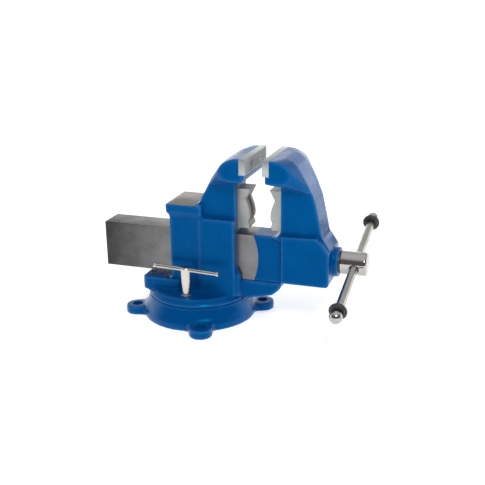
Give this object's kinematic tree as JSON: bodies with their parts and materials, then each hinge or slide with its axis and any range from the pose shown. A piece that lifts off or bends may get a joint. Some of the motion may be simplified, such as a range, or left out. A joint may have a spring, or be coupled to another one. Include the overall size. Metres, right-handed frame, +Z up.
{
  "type": "bench vise",
  "caption": "Combination bench and pipe vise: swivel base with lugs, anvil, box slide, steel jaw inserts, V pipe jaws, sliding handle.",
  "frame": {"origin": "swivel axis at the underside of the base", "axes": "+X along the slide towards the spindle head and handle, +Z up, jaws parallel to Y"},
  "size_m": [0.4635, 0.3154, 0.291],
  "materials": {
    "enamel": "glossy blue enamel on cast iron",
    "ground_steel": "ground",
    "machined_iron": "planed",
    "cast_steel": "cast with machined teeth",
    "fastener_steel": "plain",
    "nickel": "nickel plated",
    "chrome": "bright plated",
    "bronze": "turned",
    "rubber": "matt"
  },
  "bodies": {
    "base": {"swivel_base": "enamel", "pivot_bolt": "fastener_steel", "pivot_washer": "fastener_steel", "pivot_nut": "fastener_steel"},
    "turret": {"fixed_jaw": "enamel", "fixed_insert": "ground_steel", "fixed_insert_screws": "fastener_steel", "fixed_pipe_jaw": "cast_steel", "fixed_pipe_jaw_screw": "fastener_steel", "spindle_nut": "bronze", "spindle_nut_bolt": "fastener_steel", "lock_bolts": "fastener_steel", "lock_washers": "fastener_steel"},
    "slide": {"moving_jaw": "enamel", "moving_insert": "ground_steel", "moving_insert_screws": "fastener_steel", "moving_pipe_jaw": "cast_steel", "moving_pipe_jaw_screw": "fastener_steel", "thrust_washer": "bronze"},
    "screw": {"spindle": "chrome", "retaining_collar": "fastener_steel", "collar_pin": "fastener_steel"},
    "handle": {"handle_bar": "chrome", "handle_knob_near": "chrome", "handle_knob_far": "chrome", "bumper_near": "rubber", "bumper_far": "rubber"},
    "lock_near": {"lock_nut_near": "nickel"},
    "lock_far": {"lock_nut_far": "nickel"},
    "lock_handle_near": {"lock_bar_near": "nickel"},
    "lock_handle_far": {"lock_bar_far": "nickel"}
  },
  "joints": [
    {"name": "swivel", "type": "hinge", "parent": "base", "child": "turret", "pos_m": [0, 0, 0.038], "axis": [0, 0, 1], "continuous": true},
    {"name": "jaw_travel", "type": "slide", "parent": "turret", "child": "slide", "axis": [1, 0, 0], "range_m": [-0.026, 0.124]},
    {"name": "spindle_turn", "type": "hinge", "parent": "slide", "child": "screw", "pos_m": [0.2525, 0, 0.116], "axis": [1, 0, 0], "range_deg": [-1871, 8927]},
    {"name": "handle_slide", "type": "slide", "parent": "screw", "child": "handle", "axis": [0, 0.9751, 0.2215], "range_m": [-0.1115, 0.1115]},
    {"name": "lock_turn_near", "type": "hinge", "parent": "turret", "child": "lock_near", "pos_m": [0, -0.062, 0.07], "axis": [0, 0, 1], "range_deg": [-12, 18]},
    {"name": "lock_turn_far", "type": "hinge", "parent": "turret", "child": "lock_far", "pos_m": [0, 0.062, 0.07], "axis": [0, 0, 1], "range_deg": [-18, 12]},
    {"name": "lock_bar_slide_near", "type": "slide", "parent": "lock_near", "child": "lock_handle_near", "axis": [0.9962, -0.0872, 0], "range_m": [-0.048, 0.048]},
    {"name": "lock_bar_slide_far", "type": "slide", "parent": "lock_far", "child": "lock_handle_far", "axis": [0.9962, 0.0872, 0], "range_m": [-0.048, 0.048]}
  ],
  "couplings": [
    {"joint": "jaw_travel", "follows": "spindle_turn", "m_per_rad": 0.00079577}
  ]
}
